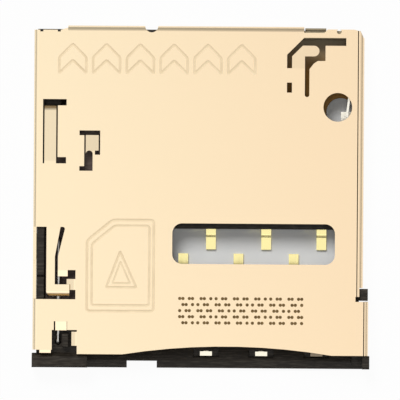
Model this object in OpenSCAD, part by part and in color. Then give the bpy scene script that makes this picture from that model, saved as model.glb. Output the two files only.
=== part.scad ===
// Push-push socket for a 12 mm wide SIM card.
// A stamped metal shell covers a moulded housing with six spring contacts, a card switch,
// and a sprung slider that a heart cam and a wire pin hold in. Sizes are in millimetres.
// The circuit board is z = 0 and the card goes in along +Y.

/* [Overall] */
// width over the front bar of the housing
body_w = 15.5; // [15.4:0.05:16.2]
// depth from the front bar to the rear wall of the shell
body_d = 15.7; // [15.5:0.05:16.5]
// height from the board to the top of the shell
body_h = 1.40; // [1.38:0.01:1.60]

/* [Shell] */
// thickness of the shell's sheet
shell_t = 0.15; // [0.10:0.01:0.16]
// how far the left wall lies inside the left end of the front bar
shell_left_in = 0.03; // [0.02:0.01:0.10]
// how far the right wall lies inside the right end of the front bar
shell_right_in = 0.32; // [0.28:0.01:0.40]
// how far the short wall at the front right lies inside the end of the front bar
shell_corner_in = 0.07; // [0.04:0.01:0.12]
// outer bend radius of the left wall
left_bend = 0.20; // [0.17:0.01:0.26]
// outer bend radius of the right wall
right_bend = 0.28; // [0.20:0.01:0.32]
// outer bend radius of the rear wall
rear_bend = 0.25; // [0.18:0.01:0.30]
// height of the walls' lower edge above the board
wall_low = 0.12; // [0.05:0.01:0.20]
// length of a solder leg along the wall
leg_l = 1.1; // [0.8:0.1:1.4]
// distance of the shell's front edge behind the front bar's face
front_back = 0.62; // [0.55:0.01:0.80]
// depth of the finger scoop in the front edge
scoop_d = 0.39; // [0.20:0.01:0.50]
// width of the finger scoop
scoop_w = 9.6; // [8.0:0.1:10.4]

/* [Shell openings] */
// width of the solder inspection window
window_w = 7.46; // [7.0:0.02:7.6]
// depth of the solder inspection window
window_d = 1.86; // [1.5:0.02:1.9]
// corner radius of the solder inspection window
window_r = 0.45; // [0.2:0.05:0.6]
// radius of the round hole over the card switch
hole_r = 0.66; // [0.5:0.02:0.7]
// width of the narrow slits beside the tongues
slit_w = 0.07; // [0.05:0.01:0.10]
// width of the tongue over the return spring
tongue_w = 0.54; // [0.40:0.01:0.58]
// length of the tongue over the return spring
tongue_l = 2.67; // [2.2:0.01:2.9]
// how far the tongue's free end is bent down
tongue_drop = 0.17; // [0.05:0.01:0.20]
// clearance between the slider and the end of the tongue over it
pad_gap = 0.05; // [0.03:0.01:0.10]
// clearance between the pin arm's foot and the pin
arm_gap = 0.02; // [0.01:0.01:0.04]
// how far the hooked card tongue is bent down
hook_drop = 0.12; // [0.05:0.01:0.20]

/* [Housing] */
// thickness of the floor
floor_t = 0.35; // [0.32:0.01:0.38]
// clearance between the shell's walls and the housing
wall_gap = 0.02; // [0.01:0.01:0.05]
// thickness of the left wall
left_wall_t = 0.35; // [0.28:0.01:0.40]
// thickness of the right wall
right_wall_t = 0.34; // [0.30:0.01:0.40]
// thickness of the rear wall
rear_wall_t = 0.38; // [0.30:0.01:0.50]
// width of the lane in which the slider runs
lane_w = 2.0; // [1.95:0.01:2.05]
// depth of the front bar
bar_d = 0.60; // [0.50:0.01:0.70]
// width of the notch in the front bar
bar_notch_w = 1.38; // [1.0:0.02:1.6]
// depth of the notch in the front bar
bar_notch_d = 0.32; // [0.2:0.01:0.4]

/* [Card] */
// width of the card
card_w = 12.0; // [11.9:0.02:12.1]
// side play of the card
card_play = 0.12; // [0.06:0.01:0.16]
// length of the card's cut corner along each edge
card_cut = 2.5; // [2.2:0.1:2.8]

/* [Contacts] */
// distance between neighbouring contacts
pitch = 2.54; // [2.44:0.02:2.60]
// distance between the two rows of contacts
row_gap = 7.62; // [7.4:0.02:7.8]
// distance from the front bar's face to the middle between the rows
row_mid = 5.72; // [5.6:0.02:5.8]
// sideways distance from the middle of the card to the middle contact
contact_shift = 1.49; // [1.40:0.01:1.56]
// thickness of the contact sheet
contact_t = 0.12; // [0.08:0.01:0.14]
// width of a contact beam
beam_w = 0.42; // [0.30:0.01:0.46]
// width of a solder tail
tail_w = 0.45; // [0.36:0.01:0.50]
// height of a contact's highest point above the board
apex_z = 0.84; // [0.70:0.01:0.95]
// thickness of the card switch's sheet
switch_t = 0.10; // [0.08:0.01:0.12]
// how far the card switch's blade reaches into the card's path
switch_reach = 0.26; // [0.15:0.01:0.32]

/* [Slider and lock] */
// travel of the slider, from card out to fully pressed
travel = 3.0; // [2.6:0.05:3.1]
// play of the slider in its lane, on each side
slide_play = 0.05; // [0.03:0.01:0.08]
// thickness of the slider where the pin lies over it
cam_t = 0.36; // [0.32:0.01:0.40]
// thickness of the slider at its spring end
slider_t = 0.52; // [0.48:0.01:0.54]
// depth of the heart cam groove
groove_d = 0.22; // [0.18:0.01:0.25]
// diameter of the pin's wire
pin_d = 0.20; // [0.16:0.01:0.22]
// length of the pin between its two legs
pin_l = 4.69; // [4.55:0.01:4.8]
// sideways path of the pin's follower over the whole travel
pin_path = 0.45; // [0.35:0.01:0.50]
// play of the pin in the groove, on each side
pin_play = 0.035; // [0.02:0.005:0.06]
// outer diameter of the return spring
spring_d = 0.70; // [0.60:0.01:0.74]
// diameter of the return spring's wire
wire_d = 0.12; // [0.08:0.01:0.13]
// number of turns of the return spring
spring_turns = 10; // [8:1:11]

/* [Hidden] */
$fn = 48;
bend_steps = 6;
over = 0.5;
touch = 0.01;
lift = 0.03;

gold_sheet = [0.93, 0.85, 0.72];
contact_gold = [0.95, 0.83, 0.50];
black_resin = [0.10, 0.10, 0.10];
slider_resin = [0.16, 0.16, 0.16];
steel_wire = [0.72, 0.72, 0.72];

// Outer faces
x_right = body_w / 2;
x_left = -x_right;
y_rear = body_d / 2;
y_front = -y_rear;
shell_l = x_left + shell_left_in;
shell_r = x_right - shell_right_in;
shell_fr = x_right - shell_corner_in;
under_z = body_h - shell_t;

// Housing faces
base_l = shell_l + shell_t + wall_gap;
base_r = shell_r - shell_t - wall_gap;
base_fr = shell_fr - shell_t - wall_gap;
base_rear = y_rear - shell_t - wall_gap;
lane_l = base_l + left_wall_t;
bay_l = lane_l + lane_w;
bay_r = base_r - right_wall_t;
card_mid = bay_l + (card_w + card_play) / 2;
bay_rear = base_rear - rear_wall_t;
bar_rear = y_front + bar_d;
wall_top = under_z - lift;
rib_w = 0.24;
rib_h = 0.22;
step_back = 11.47;
step_w = 0.08;
step_d = 0.30;

// Contacts
pad_mid = card_mid + contact_shift;
pads = [pad_mid - pitch, pad_mid, pad_mid + pitch];
row_y = y_front + row_mid;
tail_shift = pitch / 4;
tail_play = 0.45;
lead_z = 0.06;
lead_mid = lead_z + contact_t / 2;
root_d = 0.65;
open_back = 0.68;
open_fore = 1.07;
open_rear = row_y + open_back;
open_front = row_y - open_fore;
open_l = pads[0] - tail_shift - tail_w / 2 - tail_play;
open_r = pads[2] + tail_shift + tail_w / 2 + tail_play;
rear_root = open_rear + root_d;
front_root = open_front - root_d;
rear_row = row_y + row_gap / 2;
front_row = row_y - row_gap / 2;
rear_tail_end = 0.26;
front_tail_end = 0.45;
rear_foot = row_y - rear_tail_end;
front_foot = row_y - front_tail_end;
beam_lead = 0.12;
beam_bend = 0.30;
apex_bend = 0.32;
tip_turn = 42;
tip_l = 0.42;
tail_bend = contact_t / 2;
tail_step = 0.16;
tail_level = 0.22;
beam_play = 0.05;
slot_end = 0.80;
rail_w = 0.24;
rail_gap = 0.06;
stub_w = 0.55;
stub_l = 0.20;
stub_back = 0.17;
stub_step = 0.26;
stub_low = 0.01;
stub_front = bar_rear + stub_back;
stub_top = floor_t - stub_low;
tray_side = 0.30;
pocket_play = 0.06;

// Slider, pin and spring
slider_z = floor_t + lift;
slider_l = lane_l + slide_play;
slider_r = bay_l - slide_play;
cam_z = slider_z + cam_t;
slider_top = slider_z + slider_t;
pin_r = pin_d / 2;
pin_bend = 0.15;
pin_in = 0.60;
pin_back = 0.56;
pin_x = slider_l + pin_in;
pin_y = bar_rear + pin_back;
tip_y = pin_y + pin_l;
pin_z = cam_z + lift + pin_r;
groove_z = cam_z - groove_d;
groove_half = pin_r + pin_play;
pivot_room = 1.29;
cam_end = 0.40;
rebate_l = 2.0;
rib_gap = 0.10;
seat_l = 4.2;
wing_w = 0.36;
wing_l = 1.05;
cut_gap = 0.30;
slider_front = pin_y + pivot_room;
cam_rear = tip_y + cam_end;
rebate_end = cam_rear + rebate_l;
rib_end = rebate_end - rib_gap;
seat_y = cam_rear + seat_l;
head_rear = seat_y + wing_l;
head_reach = card_cut - cut_gap;
head_face = 0.55;
spring_up = 0.24;
spring_play = 0.05;
spring_x = (slider_l + slider_r) / 2;
spring_r = (spring_d - wire_d) / 2;
spring_z = slider_z + spring_up;
trough_r = spring_d / 2 + spring_play;
post_r = spring_r - wire_d / 2 - spring_play;
post_l = 0.55;
block_gap = 0.12;
block_rear = slider_front - block_gap;
seat_top = cam_z;

// Card switch
hole_in = 1.21;
hole_back = 3.68;
sight_shift = [0.15, -0.22];
hole_x = shell_r - hole_in;
hole_y = y_rear - hole_back;
switch_lift = 0.10;
switch_h = 0.50;
switch_in = 0.11;
switch_back = 0.40;
switch_tail = 0.40;
switch_low = floor_t + switch_lift;
switch_x = bay_r + switch_in;
switch_root = bay_rear - switch_back;
bump_fore = 0.30;
blade_bump = hole_y - bump_fore;
blade_bend = 0.40;
blade_tip_turn = 42;
blade_tip = 0.32;
terminal_in = 0.21;
terminal_l = 1.30;
terminal_fore = 0.70;
shelf_reach = 0.67;
shelf_fore = 0.36;
shelf_l = 0.44;
shelf_low = 0.06;
terminal_x = base_r - terminal_in;
terminal_y = blade_bump - terminal_fore;
recess_front = terminal_y - pocket_play;

// Bosses that hold the shell's walls
boss_l = 1.2;
boss_low = 0.50;
boss_h = 0.40;
boss_out = 0.10;
boss_play = 0.05;
boss_back = [2.8, 6.5, 10.0, 10.75];
left_bosses = [y_rear - boss_back[0], y_rear - boss_back[3]];
right_bosses = [y_rear - boss_back[1], y_rear - boss_back[2]];

// Notch in the shell's right edge and the nub of the housing in it
nub_back = 11.96;
nub_d = 0.64;
nub_in = 0.16;
nub_play = 0.05;
nick_in = 0.34;
nick_d = 0.23;
nub_rear = y_rear - nub_back;
nub_front = nub_rear - nub_d;

// Places along the shell's edges
rear_wall_start = 1.55;
rear_wall_end = 2.77;
rear_low_in = 0.21;
rear_gap_in = 0.27;
rear_tab_in = 0.11;
rear_tab_start = 1.70;
rear_ramp = 0.33;
rear_tab_ramp = 0.14;
corner_cut = [[0.48, 0.11], [0.18, 0.19], [0.03, 0.50]];
bite_in = 5.38;
bite_r = 0.30;
relief_d = 0.08;
relief_w = 0.14;
relief_in = [0.27, 1.07];
relief_r = 0.11;
relief_round = [1.165, 0.21];
scoop_shift = 0.34;
mouth_start = 0.89;
mouth_end = 2.04;
mouth_d = 1.10;
corner_back = 0.81;
rear_wall_l = shell_l + rear_wall_start;
rear_wall_r = shell_r - rear_wall_end;
rear_low = y_rear - rear_low_in;
rear_gap = y_rear - rear_gap_in;
rear_tab = y_rear - rear_tab_in;
rear_tab_l = shell_r - rear_tab_start;
bite_x = shell_l + bite_in;
front_edge = y_front + front_back;
scoop_x = card_mid + scoop_shift;
scoop_radius = (pow(scoop_w / 2, 2) + pow(scoop_d, 2)) / (2 * scoop_d);
mouth_l = shell_l + mouth_start;
mouth_r = shell_l + mouth_end;
mouth_rear = front_edge + mouth_d;
corner_front = y_front + corner_back;
window_shift = 0.05;
window_x = pad_mid + window_shift;
fold_w = 0.05;
fold_d = 0.09;
wall_dip = 0.18;
wall_nick_back = [9.34, 10.79];
wall_nick = [0.09, 0.13];

// Lips: bend radius, and how far each one reaches
lip_bend = 0.20;
flange_turn = 20;
flap_turn = 14;
corner_turn = 18;
arm_lip_w = 0.45;
arm_lip_reach = 0.27;
flange_back = 0.93;
flange_w = 0.50;
flange_reach = 0.38;
mouth_lip_in = 0.16;
shear = 0.02;
mouth_lip_w = 0.52;
mouth_lip_reach = 0.40;
side_lip_back = 0.08;
side_lip_w = 0.64;
side_lip_reach = 0.22;
corner_lip_in = 0.33;
corner_lip_w = 0.52;
corner_lip_reach = 0.12;

// Tongues of the shell, each from the corner of its own cut
tongue_in = [0.42, 6.34];
pad_in = [2.10, 6.67];
arm_in = [0.18, 12.57];
hook_in = [3.55, 3.22];
tongue_at = [shell_l + tongue_in[0], y_rear - tongue_in[1]];
pad_at = [shell_l + pad_in[0], y_rear - pad_in[1]];
arm_at = [shell_l + arm_in[0], y_rear - arm_in[1]];
hook_at = [shell_r - hook_in[0], y_rear - hook_in[1]];
level_run = 0.10;
tongue_bend = 0.60;
end_run = 0.27;
end_turn = 32;
end_bend = 0.12;
end_room = 0.04;
end_fall = end_run * tan(end_turn);
pad_drop = under_z - slider_top - end_fall - pad_gap;
bar_gap = 0.29;
tongue_jog = 0.40;
pad_w = 0.95;
pad_d = 1.85;
pad_root = 0.50;
pad_strip = 0.22;
pad_foot = 0.21;
pad_hole = 0.32;
pad_hole_d = 0.93;
pad_notch = [0.24, 0.19];
arm_slot = 0.44;
arm_l = 3.32;
arm_root_w = 0.64;
arm_w = 0.39;
arm_taper = 1.36;
arm_slit = 0.14;
arm_end_r = 0.10;
arm_foot = [1.06, 0.55];
arm_foot_gap = 0.13;
arm_round = 0.25;
arm_open = [1.78, 1.34];
foot_bend = 0.09;
foot_curl = 46;
foot_run = 0.34;
foot_flat = foot_run - level_run - foot_bend * sin(foot_curl);
foot_fall = foot_bend * (1 - cos(foot_curl)) + foot_flat * tan(foot_curl) + shell_t / 2 / cos(foot_curl);
arm_drop = body_h - shell_t / 2 - foot_fall - pin_z - pin_r - arm_gap;
hook_slot = 0.23;
hook_w = 0.59;
hook_inner = 0.21;
hook_neck = 1.87;
hook_head = [1.25, 0.49];
hook_bar = [2.71, 0.36];
hook_gap = 0.28;
hook_start = 0.20;
hook_bridge = [0.66, 1.32];
hook_corner = 0.38;
hook_span = 3.0;

// A box from its lower corner to its upper corner
module block(low, high) {
    translate(low) cube(high - low);
}

// The same, with the corner as two numbers each, standing between two heights
module slab(low, high, z_low, z_high) {
    block([low[0], low[1], z_low], [high[0], high[1], z_high]);
}

// Slope of a strip that climbs `rise` over `run` through two bends whose radii add up to `bends`
function climb(run, rise, bends) =
    atan2(rise - bends, run) + asin(bends / norm([run, rise - bends]));

// Length of the straight part between those two bends
function climb_run(run, rise, bends) =
    let (slope = climb(run, rise, bends))
    (run - bends * sin(slope)) / cos(slope);

// Middle line of a bent strip after its first point. Each move is [run, turn, radius],
// and each point is [place, heading].
function trail(moves, at, head, i = 0) =
    i == len(moves) ? [] :
    let (
        turn = moves[i][1],
        radius = moves[i][2],
        side = turn < 0 ? -1 : 1,
        end = at + moves[i][0] * [cos(head), sin(head)],
        hub = end + side * radius * [-sin(head), cos(head)],
        bend = turn == 0 ? [] : [
            for (k = [1:bend_steps])
            let (aim = head + turn * k / bend_steps)
            [hub + side * radius * [sin(aim), -cos(aim)], aim]
        ],
        last = turn == 0 ? end : bend[bend_steps - 1][0]
    )
    concat([[end, head]], bend, trail(moves, last, head + turn, i + 1));

// Outline of a bent strip seen on its edge
function strip(moves, thick, at, head) =
    let (
        line = concat([[at, head]], trail(moves, at, head)),
        half = thick / 2
    )
    concat(
        [for (p = line) p[0] + half * [-sin(p[1]), cos(p[1])]],
        [for (i = [len(line) - 1:-1:0]) line[i][0] - half * [-sin(line[i][1]), cos(line[i][1])]]
    );

// A shape drawn in Y and Z, given a width along X
module across(x, width) {
    translate([x, 0, 0]) rotate([90, 0, 90]) linear_extrude(width) children();
}

// Housing

// Body of the housing before its pockets and slots
module housing_body() {
    rear_stop_gap = 0.06;
    nub_low = body_h - right_bend - wall_gap;
    slab([base_l, bar_rear - touch], [base_r, base_rear], 0, floor_t);
    slab([base_l, block_rear], [lane_l, base_rear], 0, wall_top);
    slab([bay_r, nub_rear - over], [base_r, base_rear], 0, wall_top);
    slab([bay_r, bar_rear - touch], [base_fr, nub_front - nub_play], 0, wall_top);
    slab([base_l, bay_rear], [base_r, base_rear], 0, wall_top);
    slab([bay_r, nub_front + nub_play], [shell_fr - wall_gap, nub_rear - nub_play], 0, nub_low);
    slab([shell_r - nub_in + wall_gap, nub_front + nub_play], [shell_fr - wall_gap, nub_rear - nub_play],
        nub_low - touch, wall_top);
    slab([rear_wall_r + rear_stop_gap, bay_rear], [rear_tab_l - rear_stop_gap, y_rear - rear_stop_gap],
        0, wall_top);
    slab([base_l, bar_rear - touch], [bay_l, block_rear], 0, seat_top);
    slab([bay_l - rib_w - slide_play, block_rear - touch], [bay_l - slide_play, rib_end],
        floor_t - touch, floor_t + rib_h);
    translate([spring_x, bay_rear + touch, spring_z])
        rotate([90, 0, 0]) cylinder(h = post_l, r = post_r);
    front_bar();
    bosses();
}

// Front bar with its two corner blocks, the guide post beside the pin and the sloped sill
module front_bar() {
    corner_low = 0.06;
    corner_z = wall_top - corner_low;
    edge_cut = 0.15;
    sill_back = 0.32;
    sill_drop = 0.15;
    sill_up = 0.11;
    sill_end = 0.95;
    block_in = 0.33;
    post_gap = 0.08;
    post_fore = 0.22;
    post_at = [pin_x + pin_r + post_gap, pin_y - post_fore];
    post_size = [0.30, 0.62];
    corner_rear = corner_front - corner_lip_reach - 2 * wall_gap;
    across(x_left, body_w) polygon([
        [y_front, 0], [bar_rear, 0], [bar_rear, floor_t], [y_front + sill_back, floor_t],
        [y_front, floor_t - sill_drop]
    ]);
    across(bay_l, bay_r - bay_l) polygon([
        [y_front, 0], [y_front + sill_end, 0], [y_front + sill_end, floor_t],
        [y_front + sill_back, floor_t + sill_up], [y_front, floor_t - sill_drop]
    ]);
    across(x_left, bay_l - x_left) polygon([
        [y_front, 0], [corner_rear, 0], [corner_rear, corner_z - edge_cut],
        [corner_rear - edge_cut, corner_z], [y_front, corner_z]
    ]);
    slab([x_right - block_in, y_front], [x_right, front_edge - wall_gap], 0, corner_z);
    slab(post_at, post_at + post_size, 0, wall_top);
}

// Bosses that snap into the windows of the shell's side walls
module bosses() {
    for (y = left_bosses)
        slab([base_l - boss_out, y], [base_l + touch, y + boss_l], boss_low, boss_low + boss_h);
    for (y = right_bosses)
        slab([base_r - touch, y], [base_r + boss_out, y + boss_l], boss_low, boss_low + boss_h);
}

// Pockets, slots and holes of the housing
module housing_cuts() {
    slab([open_l, open_front], [open_r, open_rear], -over, floor_t + over);
    for (x = pads) {
        slab([x - beam_w / 2 - beam_play, rear_root], [x + beam_w / 2 + beam_play, rear_row + slot_end],
            -over, floor_t + over);
        slab([x - beam_w / 2 - beam_play, front_row - slot_end], [x + beam_w / 2 + beam_play, front_root],
            -over, floor_t + over);
        contact_root(x, open_rear, rear_root, 1);
        contact_root(x, front_root, open_front, -1);
        contact_rail(x);
        stub_pocket(x);
    }
    translate([spring_x, bay_rear, spring_z])
        rotate([90, 0, 0]) difference() {
            cylinder(h = bay_rear - seat_y + over, r = trough_r);
            translate([0, 0, -over]) cylinder(h = post_l + over, r = post_r);
        }
    translate([pin_x, pin_y, floor_t / 2]) cylinder(h = body_h, r = pin_r + pin_play);
    well_l = 0.62;
    well_gap = 0.04;
    well_w = 0.14;
    slab([mouth_l, block_rear - well_l], [pin_x - pin_r - well_gap, block_rear + touch], floor_t, body_h);
    slab([mouth_r - side_lip_reach - well_w, block_rear - well_l], [mouth_r, block_rear + touch],
        floor_t, body_h);
    notch_in = 1.81;
    notch_x = bay_l + notch_in;
    slab([notch_x, y_front - over], [notch_x + bar_notch_w, y_front + bar_notch_d], -over, body_h);
    translate([hole_x + sight_shift[0], hole_y + sight_shift[1], -over])
        cylinder(h = floor_t + over + touch, r = hole_r);
    terminal_shelf();
    slab([bay_r - touch, recess_front], [terminal_x + switch_t, switch_root], floor_t, body_h);
    switch_root_shape();
    terminal_leg();
    slab(tongue_at, [lane_l + touch, tongue_at[1] + tongue_l + bar_gap],
        under_z - tongue_drop - end_fall - end_room, body_h);
    slab([base_l - touch, y_rear - step_back - step_w], [lane_l + touch, y_rear - step_back],
        wall_top - step_d, body_h);
    translate([base_l, y_front, 0]) bend_room(body_d, left_bend);
    translate([base_r, nub_front, 0]) mirror([1, 0, 0]) bend_room(y_rear - nub_rear + nub_d, right_bend);
    translate([base_fr, y_front, 0]) mirror([1, 0, 0]) bend_room(nub_front - y_front - nub_play, left_bend);
    translate([x_left, base_rear, 0]) rotate([0, 0, -90]) bend_room(body_w, rear_bend);
}

// Chamfer under a bend of the shell, along +Y from 0 to run, at an edge whose face is x = 0
module bend_room(run, bend) {
    room = bend - shell_t + touch;
    translate([0, run, wall_top]) rotate([90, 0, 0]) linear_extrude(run)
        polygon([[-touch, -room], [room, touch], [-touch, touch]]);
}

// Shallow tray in the sill, round the front end of a contact
module stub_pocket(x) {
    mid = x + rail_x();
    slab([mid - stub_w / 2 - tray_side, stub_front - stub_l - pocket_play],
        [mid + stub_w / 2 + tray_side, stub_front + pocket_play], stub_top - contact_t / 2, floor_t + over);
}

module housing() {
    color(black_resin) difference() {
        housing_body();
        housing_cuts();
    }
}

// Contacts

// Middle of the carrier rail beside a front contact's beam
function rail_x() = beam_w / 2 + beam_play + rail_gap + rail_w / 2;

// Plate of a contact that the housing holds, from y_low to y_high, its tail to one side
module contact_root(x, y_low, y_high, side) {
    beam_side = x - side * (side > 0 ? beam_w / 2 : rail_x() + rail_w / 2);
    tail_side = x + side * (tail_shift + tail_w / 2);
    slab([min(beam_side, tail_side), y_low], [max(beam_side, tail_side), y_high], lead_z, lead_z + contact_t);
}

// Rail from a front contact's plate to its cut end, which is bent up into the sill
module contact_rail(x) {
    mid = x + rail_x();
    rise = stub_top - lead_z - contact_t;
    slope = climb(stub_step, rise, 2 * tail_bend);
    level = front_root - stub_front - stub_step;
    moves = [
        [touch + level, -slope, tail_bend],
        [climb_run(stub_step, rise, 2 * tail_bend), slope, tail_bend],
        [stub_l, 0, 0]
    ];
    across(mid - rail_w / 2, rail_w)
        polygon(strip(moves, contact_t, [front_root + touch, lead_mid], 180));
    slab([mid - stub_w / 2, stub_front - stub_l], [mid + stub_w / 2, stub_front],
        stub_top - contact_t, stub_top);
}

// Sprung beam, from the plate's edge to a rounded high point `reach` away and down to its tip
module contact_beam(x, root, reach, head) {
    aim = head == 0 ? 1 : -1;
    bends = beam_bend + apex_bend;
    run = reach - beam_lead;
    rise = apex_z - contact_t / 2 - lead_mid;
    slope = climb(run, rise, bends);
    start = [root - aim * touch, lead_mid];
    moves = [
        [beam_lead + touch, aim * slope, beam_bend],
        [climb_run(run, rise, bends), -aim * (slope + tip_turn), apex_bend],
        [tip_l, 0, 0]
    ];
    across(x - beam_w / 2, beam_w) polygon(strip(moves, contact_t, start, head));
}

// Solder tail, level for a bit from the plate's edge, then down to the board and on to `foot`
module contact_tail(x, edge, foot, head, level) {
    aim = head == 0 ? 1 : -1;
    drop = lead_mid - contact_t / 2;
    slope = climb(tail_step, drop, 2 * tail_bend);
    straight = abs(foot - edge) - level - tail_step;
    moves = [
        [touch + level, -aim * slope, tail_bend],
        [climb_run(tail_step, drop, 2 * tail_bend), aim * slope, tail_bend],
        [straight, 0, 0]
    ];
    start = [edge - aim * touch, lead_mid];
    across(x - tail_w / 2, tail_w) polygon(strip(moves, contact_t, start, head));
}

module rear_contact(i) {
    x = pads[i];
    color(contact_gold) {
        contact_root(x, open_rear, rear_root, 1);
        contact_beam(x, rear_root, rear_row - rear_root, 0);
        contact_tail(x + tail_shift, open_rear, rear_foot, 180, tail_level);
    }
}

module front_contact(i) {
    x = pads[i];
    color(contact_gold) {
        contact_root(x, front_root, open_front, -1);
        contact_rail(x);
        contact_beam(x, front_root, front_root - front_row, 180);
        contact_tail(x - tail_shift, open_front, front_foot, 0, 0);
    }
}

module rear_contact_1() rear_contact(0);

module rear_contact_2() rear_contact(1);

module rear_contact_3() rear_contact(2);

module front_contact_1() front_contact(0);

module front_contact_2() front_contact(1);

module front_contact_3() front_contact(2);

// Card switch

// Part of the blade that the housing holds, with its leg down to the board
module switch_root_shape() {
    slab([switch_x - switch_t / 2, switch_root], [switch_x + switch_t / 2, switch_root + switch_tail],
        0, switch_low + switch_h);
}

// Blade on its edge, bent out to a bump that the card pushes aside
module switch_blade() {
    bump_x = bay_r - switch_reach;
    run = switch_root - blade_bump;
    rise = switch_x - bump_x;
    slope = climb(run, rise, 2 * blade_bend);
    moves = [
        [touch, -slope, blade_bend],
        [climb_run(run, rise, 2 * blade_bend), slope + blade_tip_turn, blade_bend],
        [blade_tip, 0, 0]
    ];
    color(contact_gold) {
        switch_root_shape();
        translate([0, 0, switch_low]) linear_extrude(switch_h)
            polygon(strip(moves, switch_t, [switch_x, switch_root + touch], 270));
    }
}

// Leg of the fixed terminal, down through the floor
module terminal_leg() {
    leg_w = 0.6;
    mid = terminal_y + terminal_l / 2;
    slab([terminal_x, mid - leg_w / 2], [terminal_x + switch_t, mid + leg_w / 2], 0, switch_low + touch);
}

// Shelf at the terminal's foot, seen through the round hole
module terminal_shelf() {
    shelf_y = terminal_y + shelf_fore;
    shelf_z = floor_t - shelf_low;
    slab([terminal_x - shelf_reach, shelf_y], [terminal_x + switch_t, shelf_y + shelf_l],
        shelf_z, shelf_z + switch_t);
}

module switch_terminal() {
    color(contact_gold) {
        terminal_shelf();
        slab([terminal_x, terminal_y], [terminal_x + switch_t, terminal_y + terminal_l],
            switch_low, switch_low + switch_h);
        terminal_leg();
    }
}

// Slider

// Outline of the heart cam's loop, drawn from the follower's place at rest, forward along -Y
module heart_loop() {
    left_lane = 0.365;
    lane_start = 0.9;
    lane_end = 0.4;
    end_y = -travel - groove_half - pin_play;
    circle(groove_half);
    polygon([
        [groove_half, 0], [groove_half + pin_path, -travel], [groove_half + pin_path, end_y],
        [-groove_half, end_y], [-left_lane - groove_half, -travel + lane_end],
        [-left_lane - groove_half, -lane_start], [-groove_half, 0]
    ]);
}

// Heart-shaped island in the loop, with the hollow that catches the follower
module heart_island() {
    lean = pin_path / travel;
    lobe_in = 0.65;
    hollow_in = [0.02, 0.88];
    point_y = -0.62;
    left_lobe = [-0.21, 0.70];
    shoulder_y = -1.0;
    gap = groove_half + pin_play / 2;
    lobe_y = lobe_in - travel;
    polygon([
        [-lean * point_y - gap, point_y], [-lean * lobe_y - gap, lobe_y],
        [hollow_in[0], hollow_in[1] - travel], [left_lobe[0], left_lobe[1] - travel],
        [left_lobe[0], shoulder_y]
    ]);
}

// Head that pushes on the card's cut corner
module slider_head() {
    start_y = head_rear - head_face - head_reach;
    linear_extrude(slider_t) polygon([
        [slider_r - touch, start_y], [slider_r + head_reach, start_y + head_reach],
        [slider_r + head_reach, head_rear], [slider_r - touch, head_rear]
    ]);
}

module slider() {
    color(slider_resin) difference() {
        union() {
            slab([slider_l, slider_front], [slider_r, cam_rear + touch], slider_z, cam_z);
            slab([slider_l, cam_rear], [slider_r, seat_y], slider_z, slider_top);
            slab([slider_r - wing_w, seat_y - touch], [slider_r, head_rear], slider_z, slider_top);
            translate([0, 0, slider_z]) slider_head();
            translate([spring_x, seat_y - touch, spring_z])
                rotate([-90, 0, 0]) cylinder(h = post_l + touch, r = post_r);
        }
        translate([pin_x, tip_y, groove_z]) linear_extrude(body_h) difference() {
            heart_loop();
            heart_island();
        }
        slab([slider_r - rib_w - slide_play, slider_front - over], [slider_r + touch, rebate_end],
            slider_z - over, floor_t + rib_h + lift);
    }
}

// Pin and spring

// Quarter bend and leg at the pin's far end
module pin_end(low) {
    translate([0, -pin_bend, -pin_bend]) rotate([0, -90, 0])
        rotate_extrude(angle = 90) translate([pin_bend, 0]) circle(pin_r);
    translate([0, 0, low - pin_z]) cylinder(h = pin_z - pin_bend - low, r = pin_r);
}

module cam_pin() {
    pivot_gap = 0.10;
    pivot_low = floor_t / 2 + pivot_gap;
    follower_low = groove_z + lift;
    color(steel_wire) {
        translate([pin_x, pin_y + pin_bend, pin_z])
            rotate([-90, 0, 0]) cylinder(h = pin_l - 2 * pin_bend, r = pin_r);
        translate([pin_x, tip_y, pin_z]) pin_end(follower_low);
        translate([pin_x, pin_y, pin_z]) mirror([0, 1, 0]) pin_end(pivot_low);
    }
}

// Coil spring whose end turns lie close together
module return_spring() {
    sides = 8;
    turn_steps = 14;
    turn_gap = 0.02;
    close = wire_d + turn_gap;
    low = seat_y + wire_d / 2 + touch;
    high = bay_rear - wire_d / 2 - touch;
    open_pitch = (high - low - 2 * close) / (spring_turns - 2);
    steps = spring_turns * turn_steps;
    function along(t) = t < 1 ? low + close * t
        : t > spring_turns - 1 ? high - close * (spring_turns - t)
        : low + close + open_pitch * (t - 1);
    points = [
        for (i = [0:steps], k = [0:sides - 1])
        let (
            spin = 360 * i / turn_steps,
            round = 360 * k / sides,
            reach = spring_r + wire_d / 2 * cos(round)
        )
        [reach * cos(spin), along(i / turn_steps) + wire_d / 2 * sin(round), reach * sin(spin)]
    ];
    sheath = [
        for (i = [0:steps - 1], k = [0:sides - 1])
        let (next = (k + 1) % sides)
        [i * sides + k, i * sides + next, (i + 1) * sides + next, (i + 1) * sides + k]
    ];
    first = [for (k = [sides - 1:-1:0]) k];
    last = [for (k = [0:sides - 1]) steps * sides + k];
    color(steel_wire) translate([spring_x, 0, spring_z])
        polyhedron(points, concat([first], sheath, [last]));
}

// Shell

// Wall with its bend, along +Y from 0 to run, at the left end of a plate that ends at x = 0
module edge_wall(run, bend) {
    translate([0, run, 0]) rotate([90, 0, 0]) linear_extrude(run) {
        translate([0, body_h - bend]) intersection() {
            difference() {
                circle(bend);
                circle(bend - shell_t);
            }
            translate([-bend, 0]) square(bend);
        }
        translate([-bend, wall_low]) square([shell_t, body_h - bend - wall_low]);
        translate([-touch, under_z]) square([2 * touch, shell_t]);
    }
}

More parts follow.
